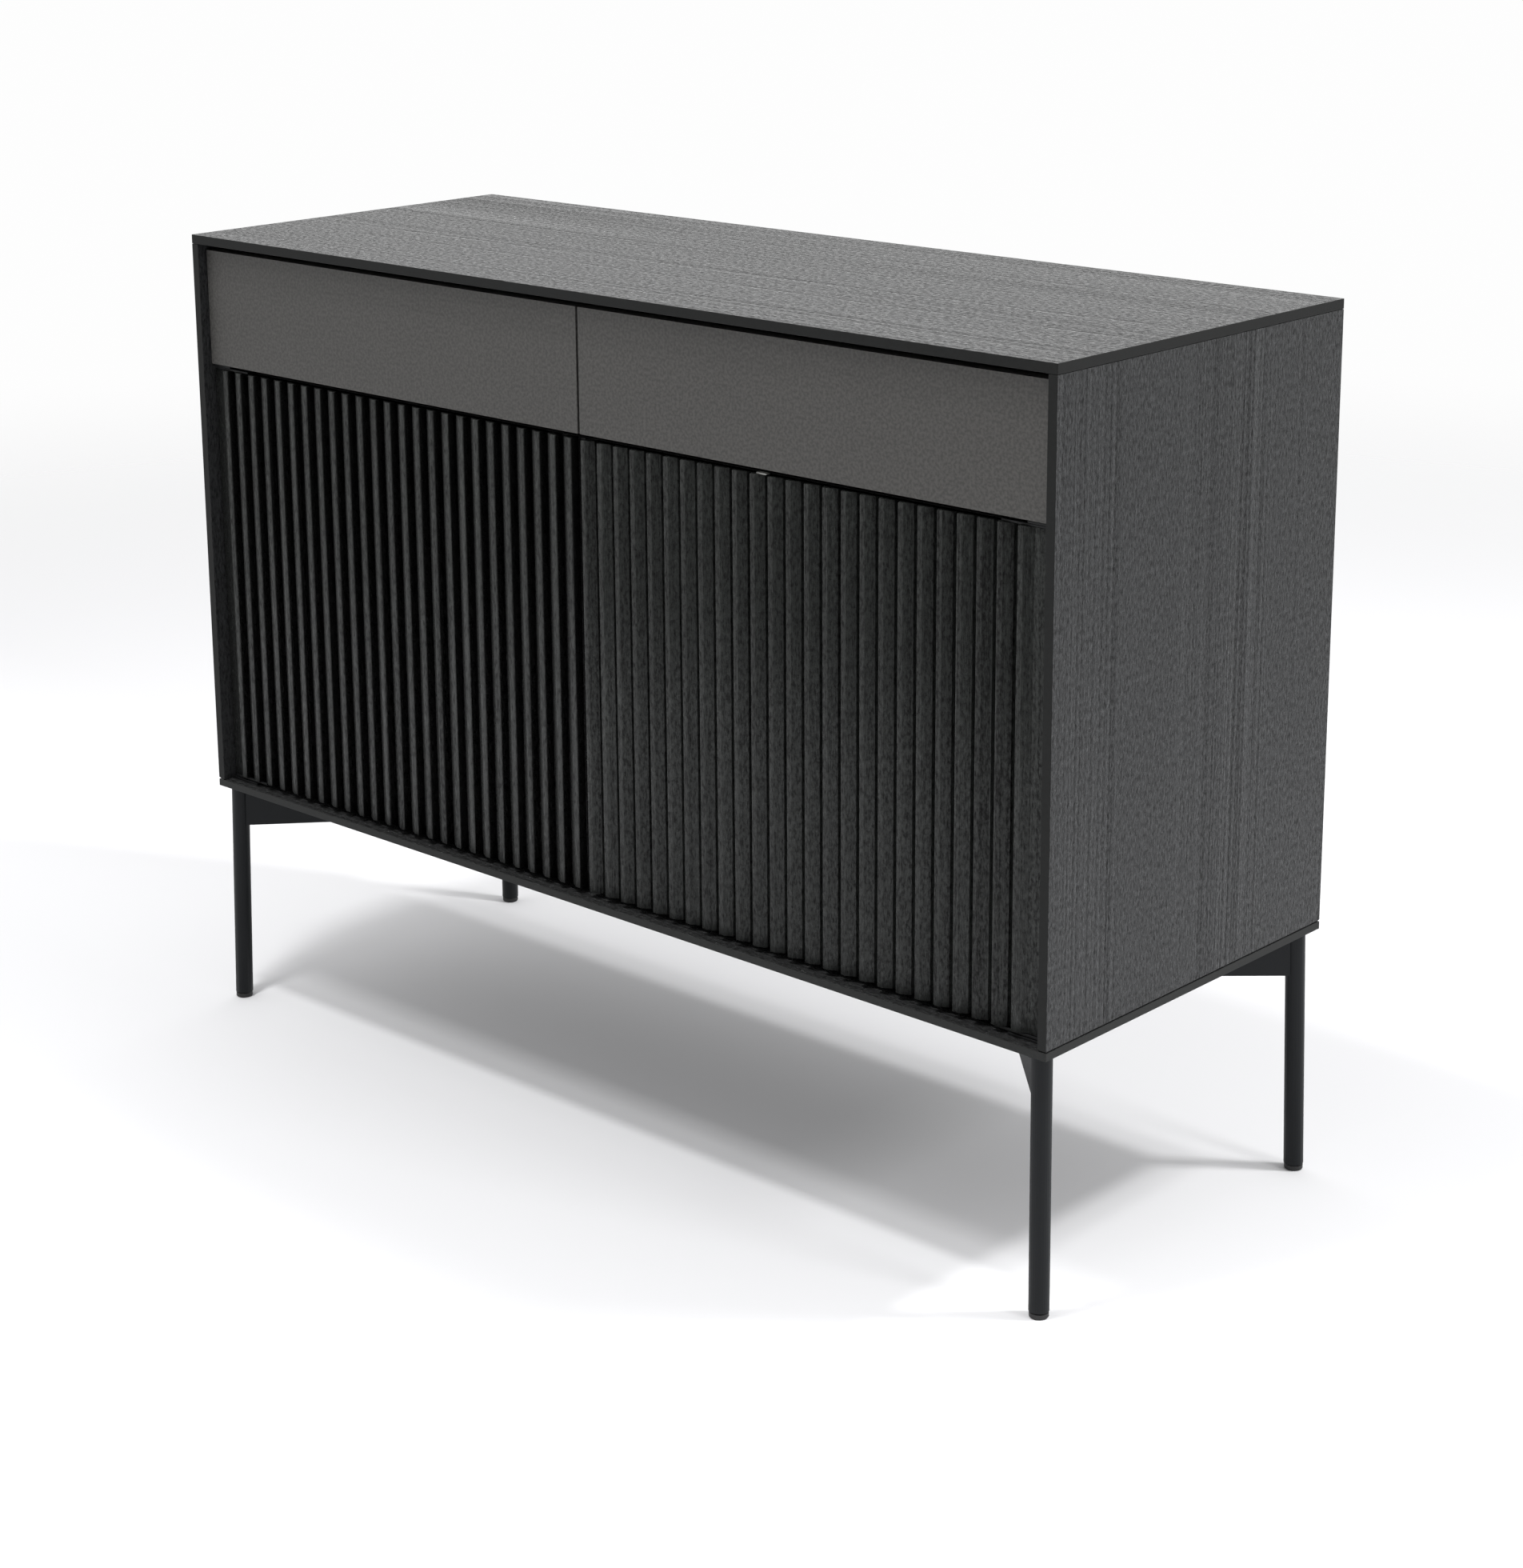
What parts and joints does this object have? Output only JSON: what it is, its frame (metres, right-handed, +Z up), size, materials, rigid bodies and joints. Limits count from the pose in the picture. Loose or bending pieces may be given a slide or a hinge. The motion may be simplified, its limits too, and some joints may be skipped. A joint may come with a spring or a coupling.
{
  "type": "sideboard",
  "caption": "Low sideboard: a flat box case on slim splayed steel legs, with handleless drawers above hinged doors faced in vertical slats, and shelves inside.",
  "frame": {"origin": "on the floor, under the centre of the case's width and depth", "axes": "+X along the width to the right of a viewer facing the front, +Y to the back, +Z up; the doors and drawers face -Y"},
  "size_m": [1.2, 0.45, 0.9],
  "materials": {
    "ash_veneer": "black-stained open-pore ash veneer, matt",
    "front_lacquer": "warm dark grey matt lacquer on board",
    "carcass_board": "black melamine-faced board",
    "drawer_board": "dark grey foil-wrapped board",
    "back_board": "black thin fibreboard",
    "leg_coat": "black satin powder coat",
    "zinc_steel": "bright zinc plate",
    "black_steel": "black oxide",
    "glide_plastic": "black moulded polypropylene",
    "latch_plastic": "pale grey moulded plastic"
  },
  "bodies": {
    "case": {"top_panel": "ash_veneer", "left_side_panel": "ash_veneer", "right_side_panel": "ash_veneer", "bottom_panel": "ash_veneer", "drawer_deck": "carcass_board", "cupboard_partition": "carcass_board", "drawer_divider": "carcass_board", "left_shelf": "carcass_board", "right_shelf": "carcass_board", "back_panel": "back_board", "left_inner_runner_case_member": "zinc_steel", "left_outer_runner_case_member": "zinc_steel", "left_upper_case_hinge_leaf": "black_steel", "left_lower_case_hinge_leaf": "black_steel", "left_push_latch": "latch_plastic", "front_left_leg": "leg_coat", "front_left_leg_bracket": "leg_coat", "front_left_foot_glide": "glide_plastic", "back_left_leg": "leg_coat", "back_left_leg_bracket": "leg_coat", "back_left_foot_glide": "glide_plastic", "right_inner_runner_case_member": "zinc_steel", "right_outer_runner_case_member": "zinc_steel", "right_upper_case_hinge_leaf": "black_steel", "right_lower_case_hinge_leaf": "black_steel", "right_push_latch": "latch_plastic", "front_right_leg": "leg_coat", "front_right_leg_bracket": "leg_coat", "front_right_foot_glide": "glide_plastic", "back_right_leg": "leg_coat", "back_right_leg_bracket": "leg_coat", "back_right_foot_glide": "glide_plastic"},
    "left_door": {"left_door_slats": "ash_veneer", "left_door_core": "carcass_board", "left_upper_door_hinge_leaf": "black_steel", "left_lower_door_hinge_leaf": "black_steel"},
    "left_drawer": {"left_drawer_front": "front_lacquer", "left_drawer_inner_side": "drawer_board", "left_drawer_outer_side": "drawer_board", "left_drawer_back": "drawer_board", "left_drawer_bottom": "drawer_board", "left_inner_runner_drawer_member": "zinc_steel", "left_outer_runner_drawer_member": "zinc_steel"},
    "left_runner_middles": {"left_inner_runner_middle_member": "zinc_steel", "left_outer_runner_middle_member": "zinc_steel"},
    "left_latch": {"left_latch_plunger": "latch_plastic"},
    "right_door": {"right_door_slats": "ash_veneer", "right_door_core": "carcass_board", "right_upper_door_hinge_leaf": "black_steel", "right_lower_door_hinge_leaf": "black_steel"},
    "right_drawer": {"right_drawer_front": "front_lacquer", "right_drawer_inner_side": "drawer_board", "right_drawer_outer_side": "drawer_board", "right_drawer_back": "drawer_board", "right_drawer_bottom": "drawer_board", "right_inner_runner_drawer_member": "zinc_steel", "right_outer_runner_drawer_member": "zinc_steel"},
    "right_runner_middles": {"right_inner_runner_middle_member": "zinc_steel", "right_outer_runner_middle_member": "zinc_steel"},
    "right_latch": {"right_latch_plunger": "latch_plastic"}
  },
  "joints": [
    {"name": "left_door_hinge", "type": "hinge", "parent": "case", "child": "left_door", "pos_m": [-0.576, -0.205, 0.5115], "axis": [0, 0, -1], "range_deg": [0, 95]},
    {"name": "left_drawer_slide", "type": "slide", "parent": "case", "child": "left_drawer", "axis": [0, -1, 0], "range_m": [0, 0.33]},
    {"name": "left_runner_middle_slide", "type": "slide", "parent": "case", "child": "left_runner_middles", "axis": [0, -1, 0], "range_m": [0, 0.165]},
    {"name": "left_latch_slide", "type": "slide", "parent": "case", "child": "left_latch", "axis": [0, -1, 0], "range_m": [0, 0.02]},
    {"name": "right_door_hinge", "type": "hinge", "parent": "case", "child": "right_door", "pos_m": [0.576, -0.205, 0.5115], "axis": [0, 0, 1], "range_deg": [0, 95]},
    {"name": "right_drawer_slide", "type": "slide", "parent": "case", "child": "right_drawer", "axis": [0, -1, 0], "range_m": [0, 0.33]},
    {"name": "right_runner_middle_slide", "type": "slide", "parent": "case", "child": "right_runner_middles", "axis": [0, -1, 0], "range_m": [0, 0.165]},
    {"name": "right_latch_slide", "type": "slide", "parent": "case", "child": "right_latch", "axis": [0, -1, 0], "range_m": [0, 0.02]}
  ],
  "couplings": [
    {"joint": "left_runner_middle_slide", "follows": "left_drawer_slide", "ratio": 0.5},
    {"joint": "left_latch_slide", "follows": "left_door_hinge", "m_per_rad": 0.012},
    {"joint": "right_runner_middle_slide", "follows": "right_drawer_slide", "ratio": 0.5},
    {"joint": "right_latch_slide", "follows": "right_door_hinge", "m_per_rad": 0.012}
  ]
}
